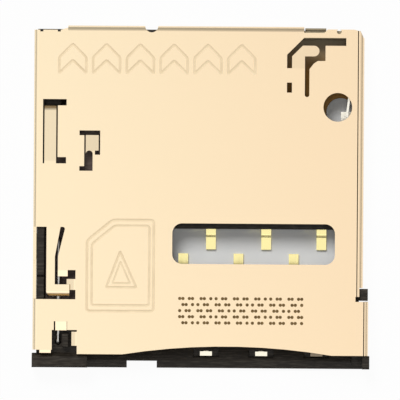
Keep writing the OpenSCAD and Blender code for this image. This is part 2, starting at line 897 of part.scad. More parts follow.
// Flat top of the shell, before its openings
module plate_outline() {
    difference() {
        polygon([
            [shell_l + left_bend, corner_front], [shell_l + left_bend, rear_low],
            [rear_wall_l - rear_ramp, rear_low], [rear_wall_l, rear_tab], [rear_wall_l, y_rear - rear_bend],
            [rear_wall_r, y_rear - rear_bend], [rear_wall_r, rear_gap],
            [rear_tab_l - rear_tab_ramp, rear_gap], [rear_tab_l, rear_tab],
            [shell_r - right_bend, rear_tab],
            [shell_r - right_bend, nub_front], [shell_fr - left_bend, nub_front],
            [shell_fr - left_bend, front_edge], [mouth_l, front_edge], [mouth_l, corner_front]
        ]);
        translate([scoop_x, front_edge + scoop_d - scoop_radius]) circle(scoop_radius, $fn = 360);
        for (x = relief_in) translate([shell_l + x, rear_low - relief_d]) square([relief_w, over]);
        translate([shell_r - relief_round[0], y_rear - relief_round[1]]) circle(relief_r);
    }
}

// Walls of the shell with their solder legs and the windows for the bosses
module shell_walls() {
    leg_back = 1.7;
    leg_fore = 0.2;
    leg_rear = y_rear - leg_back;
    leg_front = corner_front + leg_fore;
    difference() {
        union() {
            translate([shell_l + left_bend, corner_front, 0]) edge_wall(rear_low - corner_front, left_bend);
            translate([shell_r - right_bend, nub_front, 0])
                mirror([1, 0, 0]) edge_wall(rear_tab - nub_front, right_bend);
            translate([shell_fr - left_bend, front_edge, 0])
                mirror([1, 0, 0]) edge_wall(nub_front - front_edge, left_bend);
            translate([rear_wall_l, y_rear - rear_bend, 0])
                rotate([0, 0, -90]) edge_wall(rear_wall_r - rear_wall_l, rear_bend);
        }
        for (y = left_bosses) boss_window(shell_l, y);
        for (y = right_bosses) boss_window(shell_r - shell_t, y);
        bite();
    }
    for (x = [shell_l, shell_r - shell_t]) wall_leg(x, leg_rear);
    wall_leg(shell_l, leg_front);
    wall_leg(shell_fr - shell_t, leg_front);
}

module wall_leg(x, y) {
    slab([x, y], [x + shell_t, y + leg_l], 0, wall_low + touch);
}

module boss_window(x, y) {
    slab([x - over / 2, y - boss_play], [x + shell_t + touch, y + boss_l + boss_play],
        boss_low - boss_play, boss_low + boss_h + boss_play);
}

// Bevelled rear right corner of the shell
module corner_bevel() {
    bevel = [for (p = corner_cut) [shell_r - p[0], y_rear - p[1]]];
    translate([0, 0, -over]) linear_extrude(body_h + 2 * over) polygon(concat(bevel, [
        [x_right, bevel[2][1]], [x_right, y_rear + over], [bevel[0][0], y_rear + over]
    ]));
}

// Round bite in the rear edge, where the sheet was cut from its carrier
module bite() {
    translate([bite_x, y_rear, wall_low - over]) cylinder(h = body_h + over, r = bite_r);
}

// Cut for the tongue over the return spring
module tongue_cut() {
    cut_w = tongue_w + 2 * slit_w;
    square([cut_w, tongue_l]);
    translate([0, tongue_l - touch]) square([cut_w + tongue_jog, bar_gap]);
    translate([cut_w - touch, 0]) square([tongue_jog, bar_gap]);
}

module tongue_plan() {
    translate([slit_w, -over]) square([tongue_w, tongue_l + over]);
}

// Cut for the tongue over the slider's head
module pad_cut() {
    left = pad_strip + slit_w;
    translate([0, pad_d - pad_foot - touch]) square([pad_w, pad_foot + touch]);
    translate([pad_strip, 0]) square([slit_w + touch, pad_d - pad_foot]);
    square([left + touch, pad_foot]);
    translate([left, 0]) square([pad_hole, pad_hole_d]);
    translate([left, pad_hole_d - touch]) square([pad_w - left, pad_d - pad_hole_d]);
    translate([pad_w - pad_notch[0], pad_hole_d - pad_notch[1]]) square(pad_notch);
}

module pad_plan() {
    left = pad_strip + slit_w;
    neck = left + pad_hole;
    arch = pad_hole / 2;
    difference() {
        union() {
            translate([left, 0]) square([pad_w - pad_notch[0] - left, pad_d - pad_foot]);
            translate([neck, pad_hole_d]) square([pad_w - neck - slit_w, pad_d - pad_foot - pad_hole_d]);
        }
        translate([left - touch, -touch]) square([pad_hole + touch, pad_hole_d - arch + touch]);
        translate([left + arch, pad_hole_d - arch]) circle(arch);
    }
}

// Points on a part of a circle
function arc(mid, radius, from, to) = [
    for (k = [0:bend_steps])
    let (aim = from + (to - from) * k / bend_steps)
    mid + radius * [cos(aim), sin(aim)]
];

// Cut for the arm that holds the pin down
module arm_cut() {
    slit_r = arm_slot + arm_w + arm_slit;
    end_x = arm_slot + arm_root_w + arm_end_r;
    polygon([
        [0, 0], [arm_open[0], 0], arm_open, [slit_r, arm_open[1]],
        [slit_r, arm_l - arm_taper], [end_x + arm_end_r, arm_l - arm_end_r], [end_x, arm_l - arm_end_r],
        [end_x, arm_l], [0, arm_l]
    ]);
    translate([end_x, arm_l - arm_end_r]) circle(arm_end_r);
}

module arm_plan() {
    arm_r = arm_slot + arm_w;
    foot_top = arm_foot_gap + arm_foot[1];
    polygon(concat(
        [
            [arm_slot, arm_l + over], [arm_slot + arm_root_w, arm_l + over], [arm_slot + arm_root_w, arm_l],
            [arm_r, arm_l - arm_taper], [arm_r, foot_top], [arm_slot + arm_foot[0], foot_top],
            [arm_slot + arm_foot[0], arm_foot_gap]
        ],
        arc([arm_slot + arm_round, arm_foot_gap + arm_round], arm_round, 270, 180)
    ));
}

// Cut for the hooked tongue at the rear right
module hook_cut() {
    inner_r = hook_slot + hook_w + hook_inner;
    end_r = hook_inner / 2;
    head_top = hook_neck + hook_head[1];
    head_low = hook_neck - hook_inner;
    head_r = hook_slot + hook_head[0] + hook_gap;
    slant = hook_head[1];
    polygon([
        [0, hook_bridge[1]], [inner_r - hook_inner, hook_bridge[1]], [inner_r - hook_inner, end_r],
        [inner_r, end_r], [inner_r, head_low - hook_corner],
        [inner_r + hook_corner / 2, head_low - hook_corner / 3], [inner_r + hook_corner, head_low],
        [head_r, head_low], [head_r, head_top], [hook_bar[0], head_top],
        [hook_bar[0], head_top + hook_bar[1]], [slant + hook_bar[1] - slit_w, head_top + hook_bar[1]],
        [0, hook_neck + slit_w]
    ]);
    translate([inner_r - end_r, end_r]) circle(end_r);
    translate([0, hook_start]) square([hook_slot, hook_bridge[0] - hook_start]);
}

module hook_plan() {
    tongue_r = hook_slot + hook_w;
    head_top = hook_neck + hook_head[1];
    round_r = hook_head[1] / 2;
    polygon([
        [hook_slot, -over], [tongue_r, -over], [tongue_r, hook_neck],
        [hook_slot + hook_head[0] - round_r, hook_neck], [hook_slot + hook_head[0] - round_r, head_top],
        [hook_slot + hook_head[1], head_top], [hook_slot, hook_neck]
    ]);
    translate([hook_slot + hook_head[0] - round_r, hook_neck + round_r]) circle(round_r);
}

// A lip: an edge of the plate rolled down. It starts at `at`, points to `aim` and is `run` wide.
module lip(at, aim, run, reach, turn) {
    straight = (reach - lip_bend * sin(turn)) / cos(turn);
    moves = [[touch, -turn, lip_bend], [straight, 0, 0]];
    translate([at[0], at[1], 0]) rotate(aim) translate([0, run, 0]) rotate([90, 0, 0])
        linear_extrude(run) polygon(strip(moves, shell_t, [-touch, body_h - shell_t / 2], 0));
}

module lips() {
    arm_lip_x = arm_at[0] + arm_slot + arm_w + arm_slit;
    lip([arm_lip_x, arm_at[1] + arm_open[1]], 270, arm_lip_w, arm_lip_reach, flap_turn);
    lip([arm_at[0] + arm_open[0], arm_at[1] + flange_back], 180, flange_w, flange_reach, flange_turn);
    lip([mouth_l + mouth_lip_in, mouth_rear + mouth_lip_reach], 270, mouth_lip_w, mouth_lip_reach, flap_turn);
    lip([mouth_r, mouth_rear - side_lip_back], 180, side_lip_w, side_lip_reach, flange_turn);
    lip([shell_l + corner_lip_in, corner_front], 270, corner_lip_w, corner_lip_reach, corner_turn);
}

// A tongue: its plan, on a strip that starts level in the plate at `root` and is bent down
module tongue(at, root, aim, moves) {
    span = 4;
    head = aim > 0 ? 0 : 180;
    level = body_h - shell_t / 2;
    intersection() {
        translate([at[0], at[1], 0]) linear_extrude(body_h + over) children();
        across(at[0] - over, span)
            polygon(strip(moves, shell_t, [at[1] + root - aim * level_run, level], head));
    }
}

// Moves of a plain tongue: level, one bend, straight, and its end turned down further
function bent_down(length, drop, aim) =
    let (
        slope = asin(drop / length),
        run = length - level_run - end_run
    )
    [[2 * level_run, -aim * slope, tongue_bend], [run, -aim * end_turn, end_bend], [length, 0, 0]];

// Moves of the pin arm, whose foot curls down at its edge
function arm_moves() =
    let (
        reach = arm_l - arm_foot_gap,
        slope = asin(arm_drop / reach)
    )
    [[2 * level_run, slope, tongue_bend], [reach - foot_run, foot_curl, foot_bend], [foot_run, 0, 0]];

// Scored line along a fold of the shell
module fold_line(x, y_low, y_high) {
    translate([x, y_high, body_h]) rotate([90, 0, 0]) linear_extrude(y_high - y_low)
        polygon([[-fold_w / 2, touch], [0, -fold_d], [fold_w / 2, touch]]);
}

// Openings in the shell's top
module shell_cuts() {
    translate([window_x, row_y]) for (a = [0, 90])
        rotate(a) square(
            a == 0 ? [window_w, window_d - 2 * window_r] : [window_d, window_w - 2 * window_r],
            center = true
        );
    for (sx = [-1, 1], sy = [-1, 1])
        translate([window_x + sx * (window_w / 2 - window_r), row_y + sy * (window_d / 2 - window_r)])
            circle(window_r);
    translate([hole_x, hole_y]) circle(hole_r);
    translate(tongue_at) tongue_cut();
    translate(pad_at) pad_cut();
    translate(arm_at) arm_cut();
    translate(hook_at) hook_cut();
    translate([mouth_l, front_edge - over]) square([mouth_r - mouth_l, mouth_d + over]);
    translate([mouth_l + mouth_lip_in - slit_w, mouth_rear - touch])
        square([slit_w + mouth_lip_w + shear, mouth_lip_reach + touch]);
    translate([bite_x, y_rear]) circle(bite_r);
}

module shell() {
    color(gold_sheet) {
        difference() {
            union() {
                translate([0, 0, under_z]) linear_extrude(shell_t) plate_outline();
                shell_walls();
            }
            translate([0, 0, under_z - wall_dip]) linear_extrude(body_h) shell_cuts();
            slab([shell_l - over, arm_at[1]], [arm_at[0] + touch, arm_at[1] + arm_l],
                under_z - wall_dip, body_h + over);
            corner_bevel();
            fold_line(shell_r - right_bend, nub_front, y_rear);
            fold_line(shell_fr - left_bend, front_edge - over, nub_front);
            for (back = wall_nick_back)
                slab([shell_l - over, y_rear - back - wall_nick[1]], [shell_l + wall_nick[0], y_rear - back],
                    boss_low + boss_h, body_h + over);
            slab([shell_r - nub_in, nub_front], [shell_r + over, nub_rear], -over, body_h + over);
            slab([shell_r - nick_in, nub_front], [shell_r + over, nub_front + nick_d], -over, body_h + over);
        }
        lips();
        tongue(tongue_at, 0, 1, bent_down(tongue_l, tongue_drop, 1)) tongue_plan();
        tongue(pad_at, pad_root, 1, bent_down(pad_d - pad_root, pad_drop, 1)) pad_plan();
        tongue(arm_at, arm_l, -1, arm_moves()) arm_plan();
        tongue(hook_at, 0, 1, bent_down(hook_span, hook_drop, 1)) hook_plan();
    }
}

housing();
shell();
slider();
cam_pin();
return_spring();
rear_contact_1();
rear_contact_2();
rear_contact_3();
front_contact_1();
front_contact_2();
front_contact_3();
switch_blade();
switch_terminal();
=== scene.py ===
# %% [markdown]
# # A push-push SIM card socket
# The socket is a black moulded base under a gilt cover of thin sheet, about 15 mm square and 1.4 mm
# high. Its solids come from the CAD frame and stay as they are. Blender adds what the solids can't show
# well: the finishes, the wound spring, the marks pressed into the cover, the light and the camera.

# %% Load the frame
import math

import bpy
import numpy as np
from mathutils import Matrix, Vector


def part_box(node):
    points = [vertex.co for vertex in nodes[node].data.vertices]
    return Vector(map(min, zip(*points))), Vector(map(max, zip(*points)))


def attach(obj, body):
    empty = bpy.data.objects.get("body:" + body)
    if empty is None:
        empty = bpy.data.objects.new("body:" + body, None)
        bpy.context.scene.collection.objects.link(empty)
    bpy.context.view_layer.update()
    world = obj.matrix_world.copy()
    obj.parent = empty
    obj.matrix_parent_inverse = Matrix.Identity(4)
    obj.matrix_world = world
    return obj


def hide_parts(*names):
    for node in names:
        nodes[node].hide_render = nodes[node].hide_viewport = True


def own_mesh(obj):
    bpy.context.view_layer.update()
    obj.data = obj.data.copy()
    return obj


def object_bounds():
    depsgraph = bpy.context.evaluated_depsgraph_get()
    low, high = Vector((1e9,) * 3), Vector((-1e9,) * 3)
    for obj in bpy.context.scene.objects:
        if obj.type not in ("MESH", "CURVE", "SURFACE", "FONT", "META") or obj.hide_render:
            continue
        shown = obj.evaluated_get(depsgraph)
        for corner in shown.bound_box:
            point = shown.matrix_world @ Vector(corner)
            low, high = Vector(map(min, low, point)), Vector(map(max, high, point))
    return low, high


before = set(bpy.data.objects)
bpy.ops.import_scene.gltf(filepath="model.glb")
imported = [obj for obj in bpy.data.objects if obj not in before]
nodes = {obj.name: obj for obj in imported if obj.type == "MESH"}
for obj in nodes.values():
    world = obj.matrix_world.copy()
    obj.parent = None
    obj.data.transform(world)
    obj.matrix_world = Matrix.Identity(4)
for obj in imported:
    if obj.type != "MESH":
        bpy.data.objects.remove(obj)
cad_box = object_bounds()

MM = 0.001
print("pieces from the CAD:", ", ".join(sorted(nodes)))
print("box in mm:", np.round(np.array(cad_box) / MM, 3).tolist())

# %% [markdown]
# ## Camera
# The photograph looks straight down, and it shows next to none of the socket's sides. A flat
# (orthographic) camera could give that, but a real one stands at some distance, so this is a long lens
# placed where its frame is just as wide as the photograph's at the height of the cover. The socket lies
# a hair turned in the picture, so the camera turns instead of the socket. AIM is the place under the
# lens, and it and FRAME_WIDTH are in mm.

# %% Place the camera
FRAME_WIDTH = 18.349
AIM = (-0.072, -0.125)
ROLL = 0.007
LENS = 900.0
SENSOR = 36.0
NEAREST = 0.001
COVER_TOP = cad_box[1][2]

eye = bpy.data.cameras.new("camera")
eye.lens = LENS
eye.sensor_width = SENSOR
eye.clip_start = NEAREST
camera = bpy.data.objects.new("camera", eye)
bpy.context.collection.objects.link(camera)
camera.location = (AIM[0] * MM, AIM[1] * MM, COVER_TOP + FRAME_WIDTH * MM * LENS / SENSOR)
camera.rotation_euler = (0, 0, ROLL)
bpy.context.scene.camera = camera
print("camera height in mm:", round(camera.location.z / MM, 2))

# %% [markdown]
# ## Finishes
# A finish is a small tree of shader nodes, and a few helpers keep the trees short. The first ones turn a
# colour as the screen shows it into the linear one that shaders use, make a grey of one number, and start
# a material with one Principled shader. Where a finish leads a pattern into the gloss, no constant is set
# for it.

# %% Colours and materials
def screen(red, green, blue):
    """Linear colour of a screen colour: the standard curve, with its straight foot near black."""
    part = np.array([red, green, blue]) / 255
    linear = np.where(part <= 0.04045, part / 12.92, ((part + 0.055) / 1.055) ** 2.4)
    return (*linear.tolist(), 1.0)


def grey(value):
    """A grey as a ramp colour, for sockets that take one number."""
    return (value, value, value, 1.0)


def start_finish(name, metallic, roughness=None):
    """A material with one Principled shader, whose constants sit on the shader's own sockets."""
    finish = bpy.data.materials.new(name)
    finish.use_nodes = True
    shader = finish.node_tree.nodes["Principled BSDF"]
    shader.inputs["Metallic"].default_value = metallic
    if roughness is not None:
        shader.inputs["Roughness"].default_value = roughness
    return finish, finish.node_tree, shader


print("a mid grey of the screen is", round(screen(128, 128, 128)[0], 3), "to a shader")

# %% [markdown]
# Patterns are measured in millimetres, so that a grain is as fine on this 15 mm part as it is on the
# real one. A Mapping node scales the piece's own coordinates before the pattern reads them. A noise
# gives grain and cloud, and a gradient gives an even climb along one axis. The gradient runs along X,
# and a quarter turn of the mapping lays it along the part's Y.

# %% Patterns in millimetres
QUARTER_TURN = -math.pi / 2


def mapped(tree, source, scale, shift=(0, 0, 0), turn=0.0):
    """A piece's own coordinates after a Mapping node: scaled, turned about Z and then shifted."""
    place = tree.nodes.new("ShaderNodeTexCoord")
    mapping = tree.nodes.new("ShaderNodeMapping")
    mapping.inputs["Scale"].default_value = scale
    mapping.inputs["Rotation"].default_value = (0, 0, turn)
    mapping.inputs["Location"].default_value = shift
    tree.links.new(place.outputs[source], mapping.inputs["Vector"])
    return mapping.outputs["Vector"]


def noise_in_mm(tree, size, stretch=(1, 1, 1), source="Object"):
    """A noise whose lumps are about `size` mm across, drawn out by `stretch` along the axes."""
    noise = tree.nodes.new("ShaderNodeTexNoise")
    noise.inputs["Scale"].default_value = 1.0
    noise.inputs["Detail"].default_value = 3.0
    scale = [1 / (size * MM * longer) for longer in stretch]
    tree.links.new(mapped(tree, source, scale), noise.inputs["Vector"])
    return noise


def slope_in_mm(tree, start, end, turn=0.0):
    """A value that climbs evenly from 0 to 1 between two places in mm, along X or, turned, along Y."""
    climb = tree.nodes.new("ShaderNodeTexGradient")
    scale = 1 / ((end - start) * MM)
    shift = (-start / (end - start), 0, 0)
    tree.links.new(mapped(tree, "Object", (scale, scale, scale), shift, turn), climb.inputs["Vector"])
    return climb


# %% [markdown]
# A pattern is only a number between 0 and 1. A colour ramp turns it into colours or into degrees of
# gloss, and a Bump node turns it into relief too shallow to be worth modelling. WHOLE lets a ramp use
# all of a pattern; a noise stays near its middle, so it gets a narrower span.

# %% From a pattern to a look
WHOLE = (0.0, 1.0)


def ramp(tree, number, stops):
    """Turns a number into a colour: between two stops, each a place and a colour, it changes evenly."""
    node = tree.nodes.new("ShaderNodeValToRGB")
    for place, _ in stops[1:-1]:
        node.color_ramp.elements.new(place)
    for stop, (place, colour) in zip(node.color_ramp.elements, stops):
        stop.position = place
        stop.color = colour
    tree.links.new(number, node.inputs["Fac"])
    return node.outputs["Color"]


def tint(tree, pattern, low, high, socket, span=(0.3, 0.7)):
    """Runs a pattern through a ramp from one colour to another and into a shader's socket."""
    tree.links.new(ramp(tree, pattern.outputs["Fac"], list(zip(span, (low, high)))), socket)


def relief(tree, pattern, shader, depth):
    """Lets a pattern raise the surface by `depth` mm, as a bump."""
    bump = tree.nodes.new("ShaderNodeBump")
    bump.inputs["Distance"].default_value = depth * MM
    tree.links.new(pattern.outputs["Fac"], bump.inputs["Height"])
    tree.links.new(bump.outputs["Normal"], shader.inputs["Normal"])
    return bump


# %% [markdown]
# ### Gilt sheet
# The cover is stamped from rolled copper alloy with a thin pale gilding. The press cuts through the
# gilding, so the narrow cut edges of the openings and tongues are bare and duller. They could be picked
# out face by face, but the solids stay as they are, so the finish finds them itself: a cut edge is
# upright and lies within the sheet's thickness of the cover's top.

# %% Find the sheet's cut edges
SHEET = 0.15
STEEP = 0.3


def arithmetic(tree, operation, first, second=None):
    """The result of one Math node. `first` is a node's output, and `second` is one too or a number."""
    node = tree.nodes.new("ShaderNodeMath")
    node.operation = operation
    tree.links.new(first, node.inputs[0])
    if isinstance(second, float):
        node.inputs[1].default_value = second
    elif second is not None:
        tree.links.new(second, node.inputs[1])
    return node.outputs[0]


def z_of(tree, source):
    """The Z of a piece's own coordinates: its height for "Object", how level a face lies for "Normal"."""
    place = tree.nodes.new("ShaderNodeTexCoord")
    split = tree.nodes.new("ShaderNodeSeparateXYZ")
    tree.links.new(place.outputs[source], split.inputs[0])
    return split.outputs["Z"]


def cut_edges(tree):
    """1 on upright faces that lie within the sheet's thickness of the cover's top, 0 elsewhere."""
    level = arithmetic(tree, "ABSOLUTE", z_of(tree, "Normal"))
    upright = arithmetic(tree, "LESS_THAN", level, STEEP)
    near_top = arithmetic(tree, "GREATER_THAN", z_of(tree, "Object"), COVER_TOP - SHEET * MM)
    return arithmetic(tree, "MULTIPLY", upright, near_top)


print("cut edges lie above", round(COVER_TOP / MM - SHEET, 2), "mm")

# %% [markdown]
# Rolling leaves a grain too fine to see as lines; it only softens the reflection. So a noise drawn out
# along the strip works on the gloss and on a very shallow bump. The colour is painted a shade deeper
# from left to right, a painted shade for light that falls off towards the right, which is an even climb
# along X. The bare metal is mixed over it where the cut edges are.

# %% Gilt sheet for the cover
def mix_into(tree, share, socket):
    """A mix of two colours, led to a socket: Color1 where the share is 0 and Color2 where it is 1."""
    mix = tree.nodes.new("ShaderNodeMixRGB")
    tree.links.new(share, mix.inputs["Fac"])
    tree.links.new(mix.outputs["Color"], socket)
    return mix


gilt_sheet, tree, shader = start_finish("gilt_sheet", metallic=1.0)
skin = mix_into(tree, cut_edges(tree), shader.inputs["Base Color"])
skin.inputs["Color2"].default_value = screen(178, 163, 140)
# Painted shade: the gilt is painted darker towards the right.
painted_shade_to_right = slope_in_mm(tree, start=-7.0, end=7.0)
tint(tree, painted_shade_to_right, screen(255, 235, 199), screen(250, 224, 187), skin.inputs["Color1"], WHOLE)
grain = noise_in_mm(tree, size=0.12, stretch=(12, 1, 1))
tint(tree, grain, grey(0.2), grey(0.26), shader.inputs["Roughness"])
relief(tree, noise_in_mm(tree, size=0.05, stretch=(10, 1, 1)), shader, depth=0.0003)
print("gilt sheet:", len(tree.nodes), "nodes")

# %% [markdown]
# ### Gilded contacts
# The contacts are spring bronze with a hard gilding, yellower and smoother than the cover. Their front
# ends are painted nearly white, a painted highlight where they catch the light. The change from that
# painted highlight to gold is a short climb along Y. The third front contact's end lies in the cover's
# shadow, so it gets a finish of its own from the same function, with its end painted dark: a painted
# shadow.

# %% Gilding for the contacts
def contact_gilding(name, painted_end):
    """Gilding that changes over a fifth of a millimetre to the colour painted on the contact's front end.
    """
    finish, tree, shader = start_finish(name, metallic=1.0)
    from_end = slope_in_mm(tree, start=-6.9, end=-6.7, turn=QUARTER_TURN)
    tint(tree, from_end, painted_end, screen(255, 241, 172), shader.inputs["Base Color"], WHOLE)
    grain = noise_in_mm(tree, size=0.1, stretch=(1, 6, 1))
    tint(tree, grain, grey(0.18), grey(0.28), shader.inputs["Roughness"])
    relief(tree, noise_in_mm(tree, size=0.06, stretch=(1, 8, 1)), shader, depth=0.0005)
    print(name, "-", len(tree.nodes), "nodes")
    return finish


# The front ends' near white is a painted highlight.
contact_gilt = contact_gilding("contact_gilt", screen(255, 248, 228))
# The third contact's dark end is a painted shadow.
contact_shadowed_end = contact_gilding("contact_shadowed_end", screen(136, 124, 106))

# %% [markdown]
# The blade and the terminal of the card switch, seen through the sight hole, are tinned, and their pale
# colour is also a painted highlight for the glint they show in the hole. Tin from a bath sets in soft
# clouds, so its colour, gloss and relief all come from round noises.

# %% Tin and painted glint for the card switch
tin_and_glint, tree, shader = start_finish("tin_and_glint", metallic=1.0)
clouds = noise_in_mm(tree, size=0.15)
# The pale colour is partly a painted highlight.
tint(tree, clouds, screen(250, 244, 226), screen(255, 252, 242), shader.inputs["Base Color"])
tint(tree, noise_in_mm(tree, size=0.1), grey(0.2), grey(0.34), shader.inputs["Roughness"])
relief(tree, noise_in_mm(tree, size=0.08), shader, depth=0.0004)
print("tin:", len(tree.nodes), "nodes")

# %% [markdown]
# ### Black resin
# The base is a moulded resin filled with glass fibre. Up close it isn't a flat black: short pale flecks
# run along X, partly fibres near the skin and partly painted streaks of sheen, and the skin is slightly
# pitted, which breaks up its shine. A mould's edges are never quite sharp. The solids' edges are, so a
# Bevel node turns the shading round them, EDGE mm to either side, and the pits lie on top of that.

# %% Resin for the base and the slider
EDGE = 0.1
SHINE = 0.22
SMOOTHER = 0.08
ROUGHER = 0.1


def moulded_resin(name, dark, fleck_and_sheen, roughness):
    """A matt moulded resin: pale flecks along X, partly painted sheen, on a dark ground; pitted, soft
    edges.
    """
    finish, tree, shader = start_finish(name, metallic=0.0)
    shader.inputs["Specular IOR Level"].default_value = SHINE
    # Pale flecks along X: glass fibre and painted streaks of sheen.
    flecks_and_sheen = noise_in_mm(tree, size=0.07, stretch=(8, 1, 1))
    tint(tree, flecks_and_sheen, dark, fleck_and_sheen, shader.inputs["Base Color"], span=(0.45, 0.75))
    smooth, rough = grey(roughness - SMOOTHER), grey(roughness + ROUGHER)
    tint(tree, noise_in_mm(tree, size=0.3), smooth, rough, shader.inputs["Roughness"])
    pits = relief(tree, noise_in_mm(tree, size=0.06), shader, depth=0.002)
    soft_edge = tree.nodes.new("ShaderNodeBevel")
    soft_edge.inputs["Radius"].default_value = EDGE * MM
    tree.links.new(soft_edge.outputs["Normal"], pits.inputs["Normal"])
    print(name, "-", len(tree.nodes), "nodes")
    return finish


black_resin = moulded_resin("black_resin", screen(40, 35, 29), screen(76, 70, 62), roughness=0.4)
slider_resin = moulded_resin("slider_resin", screen(94, 82, 76), screen(118, 105, 97), roughness=0.5)

# %% [markdown]
# ### Painted light in a corner
# The base's rear right corner, under the slot of the hooked tongue and round the sight hole, is painted
# paler and browner: a painted light on that shaded corner. It goes only on faces that look up, so its
# share is a product of two numbers: nearness to the middle of the painted corner, and a step on the Z
# of the face's normal. It is full from the nearness FULL_FROM on, and browner towards the front.

# %% Paint light into the corner of the base
LIT_CORNER_MIDDLE = (5.6, 6.4)
LIT_CORNER_REACH = 3.4
FULL_FROM = 0.35


def nearness(tree, middle, reach):
    """1 at a place in plan, falling evenly to 0 at `reach` mm from it.

    A spherical gradient is 1 at the middle of its space and 0 one unit away, so the mapping puts the
    place in the middle and makes `reach` the unit. A scale of 0 for Z leaves height out.
    """
    near = tree.nodes.new("ShaderNodeTexGradient")
    near.gradient_type = "SPHERICAL"
    scale = 1 / (reach * MM)
    shift = (-middle[0] / reach, -middle[1] / reach, 0)
    tree.links.new(mapped(tree, "Object", (scale, scale, 0), shift), near.inputs["Vector"])
    return near.outputs["Fac"]


def painted_corner_light(finish, middle, reach):
    """Mixes painted light into a finish on faces that look up: fully near its middle, none `reach` mm away.
    """
    tree = finish.node_tree
    colour = tree.nodes["Principled BSDF"].inputs["Base Color"]
    own_colour = colour.links[0].from_socket
    looks_up = arithmetic(tree, "GREATER_THAN", z_of(tree, "Normal"), STEEP)
    near = ramp(tree, nearness(tree, middle, reach), ((0.0, grey(0)), (FULL_FROM, grey(1))))
    # The painted light is mixed in here.
    lit_corner = mix_into(tree, arithmetic(tree, "MULTIPLY", near, looks_up), colour)
    tree.links.new(own_colour, lit_corner.inputs["Color1"])
    to_rear = slope_in_mm(tree, start=5.8, end=7.2, turn=QUARTER_TURN)
    tint(tree, to_rear, screen(164, 121, 58), screen(174, 160, 132), lit_corner.inputs["Color2"], WHOLE)
    print(finish.name, "with dust -", len(tree.nodes), "nodes")


painted_corner_light(black_resin, LIT_CORNER_MIDDLE, LIT_CORNER_REACH)

# %% [markdown]
# ### Drawn wire
# The spring and the cam's pin are drawn steel wire: the die leaves fine lines along it. On the spring
# the lines follow the wire, so that finish reads the piece's own UV map, whose unit takes the place of
# the metre. The pin is a CAD solid without a map, and takes the same noise on its Object coordinates.

# %% Steel for the spring and the pin
def drawn_wire(name, source, size, stretch):
    """Bright steel whose colour, gloss and bump run in fine lines along the wire."""
    finish, tree, shader = start_finish(name, metallic=1.0)
    lines = noise_in_mm(tree, size, stretch, source)
    tint(tree, lines, screen(188, 186, 182), screen(214, 212, 207), shader.inputs["Base Color"])
    tint(tree, lines, grey(0.24), grey(0.36), shader.inputs["Roughness"])
    relief(tree, lines, shader, depth=0.0008)
    print(name, "-", len(tree.nodes), "nodes")
    return finish


spring_wire = drawn_wire("spring_wire", "UV", size=30.0, stretch=(1, 3, 1))
pin_wire = drawn_wire("pin_wire", "Object", size=0.02, stretch=(1, 10, 1))

# %% [markdown]
# ### Finishes on the CAD's own pieces
# A CAD piece keeps its mesh. Only its material slot changes. What isn't named here is gilt: the other
# contacts, and the CAD's own coil, which won't be shown.

# %% Hand the finishes out
finish_of = {
    "shell": gilt_sheet,
    "housing": black_resin,
    "slider": slider_resin,
    "cam_pin": pin_wire,
    "front_contact_3": contact_shadowed_end,
    "switch_blade": tin_and_glint,
    "switch_terminal": tin_and_glint,
}
for name, node in nodes.items():
    finish = finish_of.get(name, contact_gilt)
    if node.material_slots:
        node.material_slots[0].material = finish
    else:
        node.data.materials.append(finish)
    print(name, "gets", finish.name)

# %% [markdown]
# ## Surfaces from arrays
# Every new piece below is a grid of points worked out with numpy. One helper turns such a grid into a
# mesh: it numbers the corners of each little four-sided face with array arithmetic, and either closes
# the grid round on itself or caps its two ends with flat faces, so that no piece is left open. The
# other links any mesh as an object at the origin.

# %% Turn a grid of points into a piece
def finished_piece(name, mesh, finish):
    """Links a mesh as an object at the origin, with its finish and its name."""
    mesh.materials.append(finish)
    mesh.update()
    piece = bpy.data.objects.new(name, mesh)
    bpy.context.collection.objects.link(piece)
    print(name, "-", len(mesh.polygons), "faces")
    return piece


def grid_piece(name, points, finish, closed_rows):
    """Makes a mesh of a grid whose columns close into a ring.

    Face (i, j) joins points (i, j), (i, j+1), (i+1, j+1) and (i+1, j). Columns wrap round. Rows wrap too
    where closed_rows is true, and otherwise the first and last ring are capped.
    """
    rows, cols = points.shape[:2]
    number = np.arange(rows * cols).reshape(rows, cols)
    here = number if closed_rows else number[:-1]
    there = np.roll(number, -1, axis=0) if closed_rows else number[1:]
    quads = np.stack([here, np.roll(here, -1, axis=1), np.roll(there, -1, axis=1), there], axis=-1)
    faces = quads.reshape(-1, 4).tolist()
    if not closed_rows:
        faces += [number[0, ::-1].tolist(), number[-1].tolist()]
    mesh = bpy.data.meshes.new(name)
    mesh.from_pydata(points.reshape(-1, 3).tolist(), [], faces)
    mesh.polygons.foreach_set("use_smooth", np.ones(len(faces), bool))
    return finished_piece(name, mesh, finish)


# %% [markdown]
# ## The wound spring
# The return spring is a wire wound on an arbor, with its end turns laid close so that it stands square.
# In CAD it is a coarse coil. Here the wire's round section is carried along a helix: one parameter runs
# along the wire and the other around it. First comes the wire's advance along the spring. Every turn
# takes up one thickness of wire, and the open turns between the ends share the rest.

# %% How the spring rises
TURNS = 10
WIRE = 0.12
CLOSED = 0.7
OPENING = 0.8


def ease(x):
    """Smooth step from 0 to 1."""
    x = np.clip(x, 0, 1)
    return x * x * (3 - 2 * x)


def advance(turn, wire, length):
    """How far along the spring the wire has come, for each count of turns.

    It is one wire thickness for each turn, plus the added-up share of the open turns, scaled so that the
    last point comes to `length`. The share is 0 for CLOSED turns at each end and eases to 1 over OPENING
    of a turn.
    """
    open_share = ease((turn - CLOSED) / OPENING) * ease((turn[-1] - CLOSED - turn) / OPENING)
    close_rise = wire * (turn + turn[1])
    open_rise = np.cumsum(open_share)
    return close_rise + open_rise * (length - close_rise[-1]) / open_rise[-1]


spring_low, spring_high = (np.array(corner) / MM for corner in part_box("return_spring"))

